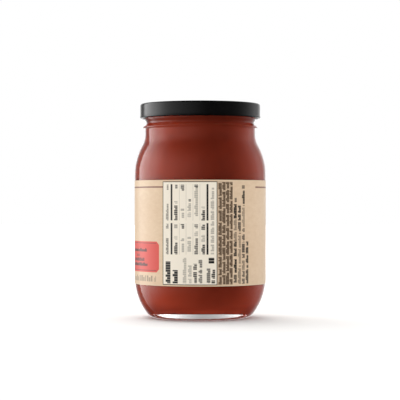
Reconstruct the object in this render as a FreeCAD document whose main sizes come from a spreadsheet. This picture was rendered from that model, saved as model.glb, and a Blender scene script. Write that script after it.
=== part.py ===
import FreeCAD, Part
import Sketcher
import math
import os

# Chili sauce jar: a round glass jar with a twist-off finish, its filling, its paper wrap and its metal
# lid. Lengths are in millimetres. The jar stands on the XY plane with its axis on Z. Every outline lies
# in the XZ plane, where x is the distance from the axis and y is the height above the floor.

# The sizes that drive the model. Each is written here once and everything else is worked out from them.
SIZES = {
    # The glass: heights, and diameters from the outside.
    "jar_height": (127.3, "floor to the sealing rim"),
    "body_diameter": (78.7, "straight wall, under the paper"),
    "wall": (2.75, "thickness of the glass from heel to rim"),
    "heel_height": (24.5, "floor to the foot of the straight wall"),
    "heel_radius": (36.0, "curve from the straight wall down towards the foot"),
    "foot_radius": (7.0, "rounding from the heel to the ring that the jar stands on"),
    "foot_width": (1.2, "flat of the ring that the jar stands on"),
    "push_up_step": (1.0, "bevel inside that ring, as high as it is wide"),
    "push_up_height": (3.0, "floor to the middle of the domed underside"),
    "base_thickness": (5.3, "glass in the middle of the base"),
    "floor_curve": (120.0, "radius of the domed floor inside"),
    "floor_corner": (13.0, "rounding between that floor and the inside of the heel"),
    "shoulder_radius": (36.0, "curve from the straight wall in to the shoulder"),
    "neck_curve": (14.0, "hollow curve from the shoulder up to the neck"),
    "neck_diameter": (66.1, "short straight neck"),
    "rim_to_neck": (17.0, "sealing rim down to the foot of the straight neck"),
    # The finish: the moulded ring that the lid turns onto.
    "rim_to_bead": (13.75, "sealing rim down to the underside of the bead"),
    "bead_step": (1.4, "how far the bead below the lid stands out from the neck"),
    "bead_nose": (0.6, "rounding of the bead"),
    "bead_fillet": (0.4, "hollow under the bead"),
    "rim_to_groove": (10.35, "sealing rim down to the middle of the groove"),
    "groove_step": (0.65, "how much deeper than the neck the groove is"),
    "groove_round": (1.3, "radius of the groove"),
    "rim_to_finish": (8.1, "sealing rim down to the foot of the finish wall"),
    "finish_step": (0.35, "how far the wall with the thread leads stands out from the neck"),
    "finish_round": (1.0, "rounding from the groove into that wall"),
    "rim_outer_round": (1.2, "outer rounding of the sealing rim"),
    "rim_inner_round": (1.0, "inner rounding of the sealing rim"),
    "thread_depth": (1.1, "how far a thread lead stands out"),
    "thread_root": (2.2, "height of a lead where it leaves the wall"),
    "thread_crest": (1.0, "height of a lead at its crest"),
    "thread_rise": (2.2, "how far a lead climbs from end to end"),
    "thread_turn": (0.17, "part of a full turn that a lead takes"),
    # The filling.
    "fill_clearance": (0.05, "between the filling and the glass"),
    "fill_drop": (3.8, "sealing rim down to the top of the filling"),
    # The paper wrap.
    "paper": (0.12, "thickness of the paper"),
    "paper_clearance": (0.03, "between the paper and the glass"),
    "paper_top_margin": (3.7, "top edge of the paper down from the start of the shoulder"),
    "paper_heel_lap": (3.85, "bottom edge of the paper down from the top of the heel"),
    # The lid.
    "lid_sheet": (0.5, "thickness of the lacquered sheet"),
    "lid_height": (8.8, "top of the lid to the bottom of its curl"),
    "lid_clearance": (1.05, "between the thread leads and the skirt"),
    "lid_corner": (1.2, "outer rounding between skirt and top"),
    "curl_radius": (0.85, "radius of the rolled bottom edge"),
    "curl_proud": (0.2, "how far the curl stands out from the skirt"),
    "gasket": (0.6, "thickness of the sealing compound on the rim"),
    "gasket_overhang": (0.3, "how far the compound reaches outside the finish wall"),
    "panel_drop": (1.0, "ring on top down to the recessed panel"),
    "panel_clearance": (1.6, "between the underside of the panel's step and the bore"),
    "panel_slope": (0.7, "width of the sloping step round the panel"),
    "button_diameter": (25.0, "raised middle of the panel"),
    "button_rise": (0.45, "height of that raised middle"),
    "lug_clearance": (0.25, "between a lug and the finish wall"),
    "lug_low": (0.3, "bottom of the curl up to the underside of a lug"),
    "lug_high": (1.25, "bottom of the curl up to the top of a lug"),
    "lug_angle": (20.0, "part of the circle that a lug takes, in degrees"),
    "lug_gap": (0.15, "between a lug and the thread lead that holds it"),
    "leads": (4, "number of thread leads, and of lugs"),
}


class Length:
    """A length: its number places a sketch's edges, and its formula binds them to the sheet."""

    def __init__(self, number, formula):
        self.number = number
        self.formula = formula

    def __add__(self, other):
        return Length(self.number + other.number, f"({self.formula} + {other.formula})")

    def __sub__(self, other):
        return Length(self.number - other.number, f"({self.formula} - {other.formula})")

    def half(self):
        return Length(self.number / 2, f"({self.formula} / 2)")

    def other_side(self, side):
        """The second short side of a right triangle that has this long side and one short side."""
        number = math.sqrt(self.number ** 2 - side.number ** 2)
        return Length(number, f"sqrt({self.formula} ^ 2 - {side.formula} ^ 2)")


def size(name):
    return Length(SIZES[name][0], f"sizes.{name}")


def write_sheet(document):
    sheet = document.addObject("Spreadsheet::Sheet", "sizes")
    for row, (name, (value, meaning)) in enumerate(SIZES.items(), start=1):
        sheet.set(f"A{row}", meaning)
        sheet.set(f"B{row}", str(value))
        sheet.setAlias(f"B{row}", name)


# Places that more than one piece needs.
BODY = size("body_diameter").half()
NECK = size("neck_diameter").half()
FINISH = NECK + size("finish_step")
BORE = NECK - size("wall")
RIM = size("jar_height")
NECK_FOOT = RIM - size("rim_to_neck")
SHOULDER_AXIS = BODY - size("shoulder_radius")
NECK_CURVE_AXIS = NECK + size("neck_curve")
SHOULDER_SPAN = size("shoulder_radius") + size("neck_curve")
SHOULDER_RISE = SHOULDER_SPAN.other_side(NECK_CURVE_AXIS - SHOULDER_AXIS)
WALL_TOP = NECK_FOOT - SHOULDER_RISE
LID_TOP = RIM + size("gasket") + size("lid_sheet")
LID_BOTTOM = LID_TOP - size("lid_height")
SKIRT_INSIDE = FINISH + size("thread_depth") + size("lid_clearance")


# --- Plane geometry, on (x, y) pairs of numbers ---------------------------------------------------------

def numbers(x, y):
    return (x.number, y.number)


def towards(start, end, distance):
    """The point that lies this far from start on the way to end, or beyond it."""
    share = distance / math.dist(start, end)
    return (start[0] + (end[0] - start[0]) * share, start[1] + (end[1] - start[1]) * share)


def crossing(centre, radius, other, other_radius):
    """Where two circles cross, on the right of the way from the first centre to the second."""
    apart = math.dist(centre, other)
    along = (apart ** 2 + radius ** 2 - other_radius ** 2) / (2 * apart)
    off = math.sqrt(radius ** 2 - along ** 2)
    x, y = towards(centre, other, along)
    ux, uy = towards((0, 0), (other[0] - centre[0], other[1] - centre[1]), 1)
    return (x + uy * off, y - ux * off)


def cross_tangent(centre, radius, other, other_radius, side):
    """Where a line that passes between two circles touches them: side 1 leaves on the right, -1 left."""
    apart = math.dist(centre, other)
    ux, uy = towards((0, 0), (other[0] - centre[0], other[1] - centre[1]), 1)
    cosine = (radius + other_radius) / apart
    sine = side * math.sqrt(1 - cosine ** 2)
    nx, ny = ux * cosine + uy * sine, uy * cosine - ux * sine
    return (
        (centre[0] + radius * nx, centre[1] + radius * ny),
        (other[0] - other_radius * nx, other[1] - other_radius * ny),
    )


# --- Outlines -------------------------------------------------------------------------------------------

X_AXIS, Y_AXIS = -1, -2
CENTRE = 3


class Outline:
    """A closed outline in a body's XZ plane. Its edges are drawn in order, anticlockwise round it."""

    def __init__(self, body, name):
        plane = next(item for item in body.Origin.OriginFeatures if item.Role == "XZ_Plane")
        self.sketch = body.newObject("Sketcher::SketchObject", name)
        self.sketch.AttachmentSupport = (plane, [""])
        self.sketch.MapMode = "FlatFace"
        self.place = None
        self.vertices = []

    def start(self, point):
        self.place = point

    def line(self, point):
        """A straight edge from the last point to this one."""
        edge = Part.LineSegment(FreeCAD.Vector(*self.place, 0), FreeCAD.Vector(*point, 0))
        self.place = point
        self.vertices.append((1, 2))
        return self.sketch.addGeometry(edge, False)

    def arc(self, centre, point, clockwise=False):
        """An arc about this centre, from the last point to this one."""
        radius = math.dist(centre, self.place)
        first, last = (point, self.place) if clockwise else (self.place, point)
        begin = math.atan2(first[1] - centre[1], first[0] - centre[0])
        end = math.atan2(last[1] - centre[1], last[0] - centre[0])
        circle = Part.Circle(FreeCAD.Vector(*centre, 0), FreeCAD.Vector(0, 0, 1), radius)
        edge = Part.ArcOfCircle(circle, begin, end if end > begin else end + 2 * math.pi)
        self.place = point
        self.vertices.append((2, 1) if clockwise else (1, 2))
        return self.sketch.addGeometry(edge, False)

    def first(self, edge):
        return (edge, self.vertices[edge][0])

    def last(self, edge):
        return (edge, self.vertices[edge][1])

    def centre(self, edge):
        return (edge, CENTRE)

    def rule(self, kind, *where):
        return self.sketch.addConstraint(Sketcher.Constraint(kind, *where))

    def join(self, smooth):
        """Joins each edge to the next and the last to the first: tangent where the pair is smooth."""
        count = len(self.vertices)
        for edge in range(count):
            after = (edge + 1) % count
            kind = "Tangent" if (edge, after) in smooth else "Coincident"
            self.rule(kind, *self.last(edge), *self.first(after))

    def bind(self, name, kind, length, *where):
        index = self.rule(kind, *where, length.number)
        self.sketch.renameConstraint(index, name)
        self.sketch.setExpression(f"Constraints.{name}", length.formula)

    def bind_x(self, name, length, vertex):
        self.bind(name, "DistanceX", length, -1, 1, *vertex)

    def bind_y(self, name, length, vertex):
        self.bind(name, "DistanceY", length, -1, 1, *vertex)

    def bind_radius(self, name, length, edge):
        self.bind(name, "Radius", length, edge)


def add_body(document, label):
    body = document.addObject("PartDesign::Body", label)
    body.Label = label
    return body


def turn(body, kind, name, outline, angle=None):
    """Turns an outline about the jar's axis, all the way round or by an angle from the sheet."""
    feature = body.newObject(kind, name)
    feature.Profile = outline.sketch
    feature.ReferenceAxis = (outline.sketch, ["V_Axis"])
    if angle is not None:
        feature.setExpression("Angle", angle.formula)
    outline.sketch.Visibility = False
    body.Tip = feature
    return feature


def repeat(body, name, feature):
    """Repeats a feature evenly round the jar's axis, once for each thread lead."""
    axis = next(item for item in body.Origin.OriginFeatures if item.Role == "Z_Axis")
    pattern = body.newObject("PartDesign::PolarPattern", name)
    pattern.Originals = [feature]
    pattern.Axis = (axis, [""])
    pattern.Angle = 360
    pattern.setExpression("Occurrences", size("leads").formula)
    body.Tip = pattern
    return pattern


# --- The glass ------------------------------------------------------------------------------------------

def glass_outline(body):
    """The outside of the jar, closed along its axis: underside, foot, wall, shoulder, neck and finish."""
    heel, foot = size("heel_radius"), size("foot_radius")
    heel_axis = numbers(BODY - heel, size("heel_height"))
    foot_reach = math.sqrt((heel.number - foot.number) ** 2 - (heel_axis[1] - foot.number) ** 2)
    foot_axis = (heel_axis[0] + foot_reach, foot.number)
    ring = foot_axis[0] - size("foot_width").number
    step, rise = size("push_up_step").number, size("push_up_height").number
    dome_edge = (ring - step, step)
    dome_radius = (dome_edge[0] ** 2 + (rise - step) ** 2) / (2 * (rise - step))
    shoulder_axis = numbers(SHOULDER_AXIS, WALL_TOP)
    neck_axis = numbers(NECK_CURVE_AXIS, NECK_FOOT)
    bead_under = RIM - size("rim_to_bead")
    fillet, nose = size("bead_fillet"), size("bead_nose")
    fillet_axis = numbers(NECK + fillet, bead_under - fillet)
    nose_reach = NECK + size("bead_step") - nose
    nose_axis = numbers(nose_reach, bead_under + nose)
    groove_reach = NECK - size("groove_step") + size("groove_round")
    groove_axis = numbers(groove_reach, RIM - size("rim_to_groove"))
    finish_axis = numbers(FINISH - size("finish_round"), RIM - size("rim_to_finish"))
    groove_round, finish_round = size("groove_round").number, size("finish_round").number
    bead_top, groove_foot = cross_tangent(nose_axis, nose.number, groove_axis, groove_round, 1)
    groove_top, finish_foot = cross_tangent(groove_axis, groove_round, finish_axis, finish_round, -1)
    lip = size("rim_outer_round")
    lip_axis = numbers(FINISH - lip, RIM - lip)

    outline = Outline(body, "glass_outline")
    outline.start((0, rise))
    dome = outline.arc((0, rise - dome_radius), dome_edge, clockwise=True)
    bevel = outline.line((ring, 0))
    stand = outline.line((foot_axis[0], 0))
    foot_arc = outline.arc(foot_axis, towards(heel_axis, foot_axis, heel.number))
    heel_arc = outline.arc(heel_axis, numbers(BODY, size("heel_height")))
    wall = outline.line(numbers(BODY, WALL_TOP))
    shoulder = outline.arc(shoulder_axis, towards(shoulder_axis, neck_axis, size("shoulder_radius").number))
    neck_arc = outline.arc(neck_axis, numbers(NECK, NECK_FOOT), clockwise=True)
    neck = outline.line(numbers(NECK, bead_under - fillet))
    fillet_arc = outline.arc(fillet_axis, numbers(NECK + fillet, bead_under), clockwise=True)
    underside = outline.line((nose_axis[0], bead_under.number))
    bead = outline.arc(nose_axis, bead_top)
    bead_slope = outline.line(groove_foot)
    groove = outline.arc(groove_axis, groove_top, clockwise=True)
    groove_slope = outline.line(finish_foot)
    finish_arc = outline.arc(finish_axis, (FINISH.number, finish_axis[1]))
    finish = outline.line(numbers(FINISH, RIM - lip))
    lip_arc = outline.arc(lip_axis, numbers(FINISH - lip, RIM))
    top = outline.line((0, RIM.number))
    outline.line((0, rise))

    outline.join({(edge, edge + 1) for edge in range(stand, top)})
    outline.rule("PointOnObject", *outline.first(dome), Y_AXIS)
    outline.rule("PointOnObject", *outline.centre(dome), Y_AXIS)
    outline.rule("PointOnObject", *outline.first(stand), X_AXIS)
    outline.rule("PointOnObject", *outline.last(top), Y_AXIS)
    for level in (stand, underside, top):
        outline.rule("Horizontal", level)
    for upright in (wall, neck, finish):
        outline.rule("Vertical", upright)
    outline.bind_y("push_up_height", size("push_up_height"), outline.first(dome))
    bevel_ends = (*outline.first(bevel), *outline.last(bevel))
    outline.bind("bevel_width", "DistanceX", size("push_up_step"), *bevel_ends)
    outline.bind_y("bevel_height", size("push_up_step"), outline.first(bevel))
    stand_ends = (*outline.first(stand), *outline.last(stand))
    outline.bind("foot_width", "DistanceX", size("foot_width"), *stand_ends)
    outline.bind_radius("foot_radius", foot, foot_arc)
    outline.bind_radius("heel_radius", heel, heel_arc)
    outline.bind_y("heel_height", size("heel_height"), outline.last(heel_arc))
    outline.bind_x("body_radius", BODY, outline.first(wall))
    outline.bind_radius("shoulder_radius", size("shoulder_radius"), shoulder)
    outline.bind_radius("neck_curve", size("neck_curve"), neck_arc)
    outline.bind_y("neck_foot", NECK_FOOT, outline.last(neck_arc))
    outline.bind_x("neck_radius", NECK, outline.first(neck))
    outline.bind_radius("bead_fillet", fillet, fillet_arc)
    outline.bind_y("bead_underside", bead_under, outline.first(underside))
    outline.bind_radius("bead_nose", nose, bead)
    outline.bind_x("bead_axis", nose_reach, outline.centre(bead))
    outline.bind_radius("groove_round", size("groove_round"), groove)
    outline.bind_x("groove_axis", groove_reach, outline.centre(groove))
    outline.bind_y("groove_height", RIM - size("rim_to_groove"), outline.centre(groove))
    outline.bind_radius("finish_round", size("finish_round"), finish_arc)
    outline.bind_y("finish_foot", RIM - size("rim_to_finish"), outline.centre(finish_arc))
    outline.bind_x("finish_radius", FINISH, outline.first(finish))
    outline.bind_radius("rim_outer_round", lip, lip_arc)
    outline.bind_y("jar_height", RIM, outline.first(top))
    return outline


def inside_outline(body, name, gap, top, flare):
    """The inside of the jar, kept a gap clear of the glass. A flare widens its top, where there is one."""
    skin = size("wall") + gap
    heel, corner = size("heel_radius") - skin, size("floor_corner") - gap
    dome, floor = size("floor_curve") + gap, size("push_up_height") + size("base_thickness") + gap
    heel_axis = numbers(BODY - size("heel_radius"), size("heel_height"))
    dome_axis = (0, floor.number - dome.number)
    corner_axis = crossing(dome_axis, dome.number + corner.number, heel_axis, heel.number - corner.number)
    shoulder_axis = numbers(SHOULDER_AXIS, WALL_TOP)
    shoulder, neck_curve = size("shoulder_radius") - skin, size("neck_curve") + skin
    neck_axis = numbers(NECK_CURVE_AXIS, NECK_FOOT)
    bore = NECK - skin

    outline = Outline(body, name)
    outline.start((0, floor.number))
    floor_arc = outline.arc(dome_axis, towards(dome_axis, corner_axis, dome.number), clockwise=True)
    corner_arc = outline.arc(corner_axis, towards(heel_axis, corner_axis, heel.number))
    heel_arc = outline.arc(heel_axis, numbers(BODY - skin, size("heel_height")))
    wall = outline.line(numbers(BODY - skin, WALL_TOP))
    shoulder_arc = outline.arc(shoulder_axis, towards(shoulder_axis, neck_axis, shoulder.number))
    neck_arc = outline.arc(neck_axis, numbers(bore, NECK_FOOT), clockwise=True)
    if flare is None:
        neck = outline.line(numbers(bore, top))
        smooth_end = neck
    else:
        neck = outline.line(numbers(bore, top - flare))
        flare_axis = numbers(bore + flare, top - flare)
        smooth_end = outline.arc(flare_axis, numbers(bore + flare, top), clockwise=True)
        outline.bind_radius("flare", flare, smooth_end)
    level = outline.line((0, top.number))
    outline.line((0, floor.number))

    smooth = {(edge, edge + 1) for edge in range(floor_arc, smooth_end)}
    if flare is not None:
        smooth.add((smooth_end, level))
    outline.join(smooth)
    outline.rule("PointOnObject", *outline.first(floor_arc), Y_AXIS)
    outline.rule("PointOnObject", *outline.centre(floor_arc), Y_AXIS)
    outline.rule("PointOnObject", *outline.last(level), Y_AXIS)
    outline.rule("Horizontal", level)
    for upright in (wall, neck):
        outline.rule("Vertical", upright)
    outline.bind_y("floor", floor, outline.first(floor_arc))
    outline.bind_radius("floor_curve", dome, floor_arc)
    outline.bind_radius("floor_corner", corner, corner_arc)
    outline.bind_radius("heel_radius", heel, heel_arc)
    outline.bind_y("heel_height", size("heel_height"), outline.last(heel_arc))
    outline.bind_x("inside_radius", BODY - skin, outline.first(wall))
    outline.bind_radius("shoulder_radius", shoulder, shoulder_arc)
    outline.bind_radius("neck_curve", neck_curve, neck_arc)
    outline.bind_y("neck_foot", NECK_FOOT, outline.last(neck_arc))
    outline.bind_x("bore_radius", bore, outline.first(neck))
    outline.bind_y("top", top, outline.first(level))
    return outline


def thread_outline(body):
    """The section of a thread lead at its low end, just above the lug that it holds."""
    low = LID_BOTTOM + size("lug_high") + size("lug_gap")
    crest = FINISH + size("thread_depth")
    buried = FINISH - size("thread_depth").half()
    taper = (size("thread_root") - size("thread_crest")).half()
    root_top = low + size("thread_root")

    outline = Outline(body, "thread_outline")
    outline.start(numbers(buried, low))
    under = outline.line(numbers(FINISH, low))
    outline.line(numbers(crest, low + taper))
    face = outline.line(numbers(crest, root_top - taper))
    outline.line(numbers(FINISH, root_top))
    over = outline.line(numbers(buried, root_top))
    back = outline.line(numbers(buried, low))

    outline.join(set())
    for level in (under, over):
        outline.rule("Horizontal", level)
    for upright in (face, back):
        outline.rule("Vertical", upright)
    outline.rule("Vertical", *outline.last(under), *outline.first(over))
    outline.bind_x("buried", buried, outline.first(under))
    outline.bind_x("wall", FINISH, outline.last(under))
    outline.bind_x("crest", crest, outline.first(face))
    outline.bind_y("low", low, outline.first(under))
    outline.bind_y("crest_low", low + taper, outline.first(face))
    outline.bind_y("crest_high", root_top - taper, outline.last(face))
    outline.bind_y("root_high", root_top, outline.first(over))
    return outline


def make_glass(document):
    body = add_body(document, "glass_jar")
    turn(body, "PartDesign::Revolution", "outside", glass_outline(body))
    inside = inside_outline(body, "inside_outline", Length(0, "0"), RIM, size("rim_inner_round"))
    turn(body, "PartDesign::Groove", "inside", inside)
    document.recompute()
    outline = thread_outline(body)
    lead = body.newObject("PartDesign::AdditiveHelix", "thread_lead")
    lead.Profile = outline.sketch
    lead.ReferenceAxis = (outline.sketch, ["V_Axis"])
    lead.Mode = "height-turns-angle"
    lead.setExpression("Height", size("thread_rise").formula)
    lead.setExpression("Turns", size("thread_turn").formula)
    body.Tip = lead
    repeat(body, "thread_leads", lead)
    return body


# --- The filling and the paper --------------------------------------------------------------------------

def make_sauce(document):
    body = add_body(document, "sauce")
    level = RIM - size("fill_drop")
    outline = inside_outline(body, "sauce_outline", size("fill_clearance"), level, None)
    turn(body, "PartDesign::Revolution", "filling", outline)
    return body


def make_paper(document):
    """The paper follows the straight wall and laps a little way onto the heel."""
    body = add_body(document, "paper_label")
    inner = BODY + size("paper_clearance")
    outer = inner + size("paper")
    heel = size("heel_height")
    low = heel - size("paper_heel_lap")
    high = WALL_TOP - size("paper_top_margin")
    inner_curve = size("heel_radius") + size("paper_clearance")
    outer_curve = inner_curve + size("paper")
    heel_axis = numbers(BODY - size("heel_radius"), heel)
    lap = size("paper_heel_lap").number
    inner_low = heel_axis[0] + math.sqrt(inner_curve.number ** 2 - lap ** 2)
    outer_low = heel_axis[0] + math.sqrt(outer_curve.number ** 2 - lap ** 2)

    outline = Outline(body, "paper_outline")
    outline.start((inner_low, low.number))
    bottom = outline.line((outer_low, low.number))
    outer_arc = outline.arc(heel_axis, numbers(outer, heel))
    outer_line = outline.line(numbers(outer, high))
    top = outline.line(numbers(inner, high))
    inner_line = outline.line(numbers(inner, heel))
    inner_arc = outline.arc(heel_axis, (inner_low, low.number), clockwise=True)

    outline.join({(outer_arc, outer_line), (inner_line, inner_arc)})
    for level in (bottom, top):
        outline.rule("Horizontal", level)
    for upright in (outer_line, inner_line):
        outline.rule("Vertical", upright)
    outline.bind_x("outer_radius", outer, outline.first(outer_line))
    outline.bind_x("inner_radius", inner, outline.first(inner_line))
    outline.bind_y("low_edge", low, outline.first(bottom))
    outline.bind_y("high_edge", high, outline.first(top))
    outline.bind_y("outer_heel", heel, outline.first(outer_line))
    outline.bind_y("inner_heel", heel, outline.last(inner_line))
    outline.bind_radius("outer_curve", outer_curve, outer_arc)
    outline.bind_radius("inner_curve", inner_curve, inner_arc)
    turn(body, "PartDesign::Revolution", "wrap", outline)
    return body


# --- The lid --------------------------------------------------------------------------------------------

def lid_outline(body):
    """The section of the lid: raised middle, panel, step, top ring, skirt, curl and sealing compound."""
    sheet, corner, curl = size("lid_sheet"), size("lid_corner"), size("curl_radius")
    skirt = SKIRT_INSIDE + sheet
    panel = LID_TOP - size("panel_drop")
    under_panel = panel - sheet
    button = size("button_diameter").half()
    step_foot = BORE - size("panel_clearance") - sheet
    step_head = step_foot + size("panel_slope")
    curl_reach = skirt + size("curl_proud") - curl
    curl_axis = numbers(curl_reach, LID_BOTTOM + curl)
    channel = LID_TOP - sheet
    inner_corner = corner - sheet
    compound = FINISH + size("gasket_overhang")
    inner_meet = curl.other_side(SKIRT_INSIDE - curl_reach).number
    outer_meet = curl.other_side(skirt - curl_reach).number

    outline = Outline(body, "lid_outline")
    outline.start(numbers(Length(0, "0"), panel + size("button_rise") - sheet))
    button_under = outline.line(numbers(button - sheet, panel + size("button_rise") - sheet))
    outline.line(numbers(button, under_panel))
    panel_under = outline.line(numbers(step_foot + sheet, under_panel))
    step_under = outline.line(numbers(step_head + sheet, RIM))
    seal = outline.line(numbers(compound, RIM))
    seal_edge = outline.line(numbers(compound, channel))
    channel_line = outline.line(numbers(SKIRT_INSIDE - inner_corner, channel))
    inner_arc = outline.arc(
        numbers(SKIRT_INSIDE - inner_corner, channel - inner_corner),
        numbers(SKIRT_INSIDE, channel - inner_corner),
        clockwise=True,
    )
    inner_skirt = outline.line((SKIRT_INSIDE.number, curl_axis[1] + inner_meet))
    curl_arc = outline.arc(curl_axis, (skirt.number, curl_axis[1] + outer_meet))
    outer_skirt = outline.line(numbers(skirt, LID_TOP - corner))
    outer_arc = outline.arc(numbers(skirt - corner, LID_TOP - corner), numbers(skirt - corner, LID_TOP))
    ring = outline.line(numbers(step_head, LID_TOP))
    step = outline.line(numbers(step_foot, panel))
    panel_line = outline.line(numbers(button, panel))
    button_edge = outline.line(numbers(button - sheet, panel + size("button_rise")))
    button_top = outline.line((0, (panel + size("button_rise")).number))
    outline.line(numbers(Length(0, "0"), panel + size("button_rise") - sheet))

    inner_corners = {(channel_line, inner_arc), (inner_arc, inner_skirt)}
    outer_corners = {(outer_skirt, outer_arc), (outer_arc, ring)}
    outline.join(inner_corners | outer_corners)
    outline.rule("PointOnObject", *outline.first(button_under), Y_AXIS)
    outline.rule("PointOnObject", *outline.last(button_top), Y_AXIS)
    for level in (button_under, panel_under, seal, channel_line, ring, panel_line, button_top):
        outline.rule("Horizontal", level)
    for upright in (seal_edge, inner_skirt, outer_skirt):
        outline.rule("Vertical", upright)
    outline.bind_y("button_underside", panel + size("button_rise") - sheet, outline.first(button_under))
    outline.bind_x("button_under_edge", button - sheet, outline.last(button_under))
    outline.bind_x("button_under_foot", button, outline.first(panel_under))
    outline.bind_y("panel_underside", under_panel, outline.first(panel_under))
    outline.bind_x("step_under_foot", step_foot + sheet, outline.last(panel_under))
    outline.bind_x("step_under_head", step_head + sheet, outline.last(step_under))
    outline.bind_y("seal_face", RIM, outline.first(seal))
    outline.bind_x("compound_edge", compound, outline.last(seal))
    outline.bind_y("channel", channel, outline.last(seal_edge))
    outline.bind_radius("inner_corner", inner_corner, inner_arc)
    outline.bind_x("skirt_inside", SKIRT_INSIDE, outline.first(inner_skirt))
    outline.bind_radius("curl_radius", curl, curl_arc)
    outline.bind_x("curl_axis", curl_reach, outline.centre(curl_arc))
    outline.bind_y("curl_height", LID_BOTTOM + curl, outline.centre(curl_arc))
    outline.bind_x("skirt_radius", skirt, outline.first(outer_skirt))
    outline.bind_radius("lid_corner", corner, outer_arc)
    outline.bind_y("lid_top", LID_TOP, outline.first(ring))
    outline.bind_x("step_head", step_head, outline.last(ring))
    outline.bind_x("step_foot", step_foot, outline.last(step))
    outline.bind_y("panel", panel, outline.last(step))
    outline.bind_x("button_foot", button, outline.last(panel_line))
    outline.bind_x("button_edge", button - sheet, outline.last(button_edge))
    outline.bind_y("button_top", panel + size("button_rise"), outline.last(button_edge))
    return outline


def lug_outline(body):
    """The section of a lug: the curl pressed inwards, under a thread lead."""
    tip = FINISH + size("lug_clearance")
    root = SKIRT_INSIDE + size("lid_sheet") + size("curl_proud") - size("curl_radius")
    low = LID_BOTTOM + size("lug_low")
    high = LID_BOTTOM + size("lug_high")

    outline = Outline(body, "lug_outline")
    outline.start(numbers(tip, low))
    bottom = outline.line(numbers(root, low))
    right = outline.line(numbers(root, high))
    top = outline.line(numbers(tip, high))
    left = outline.line(numbers(tip, low))

    outline.join(set())
    for level in (bottom, top):
        outline.rule("Horizontal", level)
    for upright in (right, left):
        outline.rule("Vertical", upright)
    outline.bind_x("tip", tip, outline.first(bottom))
    outline.bind_x("root", root, outline.last(bottom))
    outline.bind_y("low", low, outline.first(bottom))
    outline.bind_y("high", high, outline.first(top))
    return outline


def make_lid(document):
    body = add_body(document, "lid")
    turn(body, "PartDesign::Revolution", "cap", lid_outline(body))
    document.recompute()
    lug = turn(body, "PartDesign::Revolution", "lug", lug_outline(body), size("lug_angle"))
    repeat(body, "lugs", lug)
    return body


# --- The document ---------------------------------------------------------------------------------------

def check(document, bodies):
    """Stops on any failed object, and on a body that isn't one sound solid."""
    failed = [item.Label for item in document.Objects if {"Invalid", "Error"} & set(item.State)]
    if failed:
        raise RuntimeError(f"these objects failed: {failed}")
    for body in bodies:
        shape = body.Shape
        if shape.isNull() or not shape.isValid() or len(shape.Solids) != 1:
            raise RuntimeError(f"{body.Label} isn't one valid solid")


def main():
    document = FreeCAD.newDocument("chili_sauce_jar")
    write_sheet(document)
    document.recompute()
    bodies = [make_glass(document), make_sauce(document), make_paper(document), make_lid(document)]
    document.recompute()
    check(document, bodies)
    os.makedirs("parts", exist_ok=True)
    for body in bodies:
        body.Shape.exportStep(f"parts/{body.Label}.step")
        print(f"{body.Label}: {body.Shape.Volume:.0f} mm3, {len(body.Shape.Faces)} faces")


main()
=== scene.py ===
"""The looks of a chili sauce jar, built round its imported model: glass, sauce, paper wrap and twist-off lid.

Sizes are in millimetres and follow the source of the part, and meshes are made in metres. Angles run
round the jar's axis from the seen side, which faces -Y, towards +X.
"""

import math

import bpy
import numpy as np
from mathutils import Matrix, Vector


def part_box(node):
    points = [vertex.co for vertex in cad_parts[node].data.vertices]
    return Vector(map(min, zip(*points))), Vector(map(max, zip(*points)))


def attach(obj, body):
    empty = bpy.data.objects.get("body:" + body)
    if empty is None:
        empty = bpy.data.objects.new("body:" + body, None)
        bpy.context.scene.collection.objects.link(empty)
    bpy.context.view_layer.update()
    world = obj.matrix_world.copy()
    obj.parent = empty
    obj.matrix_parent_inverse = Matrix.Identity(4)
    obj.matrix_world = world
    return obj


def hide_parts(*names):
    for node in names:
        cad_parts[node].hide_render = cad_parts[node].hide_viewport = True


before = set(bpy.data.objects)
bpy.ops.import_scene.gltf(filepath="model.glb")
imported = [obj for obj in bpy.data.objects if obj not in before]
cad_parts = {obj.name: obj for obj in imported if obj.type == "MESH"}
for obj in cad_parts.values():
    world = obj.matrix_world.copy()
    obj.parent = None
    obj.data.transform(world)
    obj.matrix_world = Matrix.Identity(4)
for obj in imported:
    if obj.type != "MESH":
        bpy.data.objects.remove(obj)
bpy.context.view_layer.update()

MM = 0.001

# --- Sizes, in millimetres ------------------------------------------------------------------------------

# The glass, from its foot up. FLOOR_CORNER is tighter than the solid's, so that the clear base below the
# sauce shows as wide as it should.
RIM = 127.3
BODY = 39.35
WALL = 2.75
HEEL_HEIGHT = 24.5
HEEL_RADIUS = 36.0
FOOT_RADIUS = 7.0
FOOT_WIDTH = 1.2
PUSH_UP_STEP = 1.0
PUSH_UP_HEIGHT = 3.0
BASE_THICKNESS = 5.3
FLOOR_CURVE = 120.0
FLOOR_CORNER = 8.5
KNURLS = 96
KNURL_DEPTH = 0.16
KNURL_HEIGHT = 0.9
KNURL_RING = (24, 30)
SHOULDER_RADIUS = 36.0
NECK = 33.05
NECK_CURVE = 14.0
BORE = NECK - WALL

# Its finish, with heights down from the rim.
NECK_FOOT = RIM - 17.0
BEAD_UNDER = RIM - 13.75
BEAD_STEP = 1.4
BEAD_NOSE = 0.6
BEAD_FILLET = 0.4
GROOVE_HEIGHT = RIM - 10.35
GROOVE_STEP = 0.65
GROOVE_ROUND = 1.3
FINISH = NECK + 0.35
FINISH_FOOT = RIM - 8.1
FINISH_ROUND = 1.0
RIM_OUTER_ROUND = 1.2
RIM_INNER_ROUND = 1.0
THREAD_DEPTH = 1.1
THREAD_ROOT = 2.2
THREAD_CREST = 1.0
THREAD_RISE = 2.2
THREAD_SPAN = math.radians(61.2)
THREAD_END = math.radians(3)
LEADS = 4

# The sauce, which reaches just into the wall and climbs it in a curve.
SAUCE_LEVEL = RIM - 3.8
SAUCE_REACH = 0.15
MENISCUS = 0.7
MENISCUS_ROUND = 3.0

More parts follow.
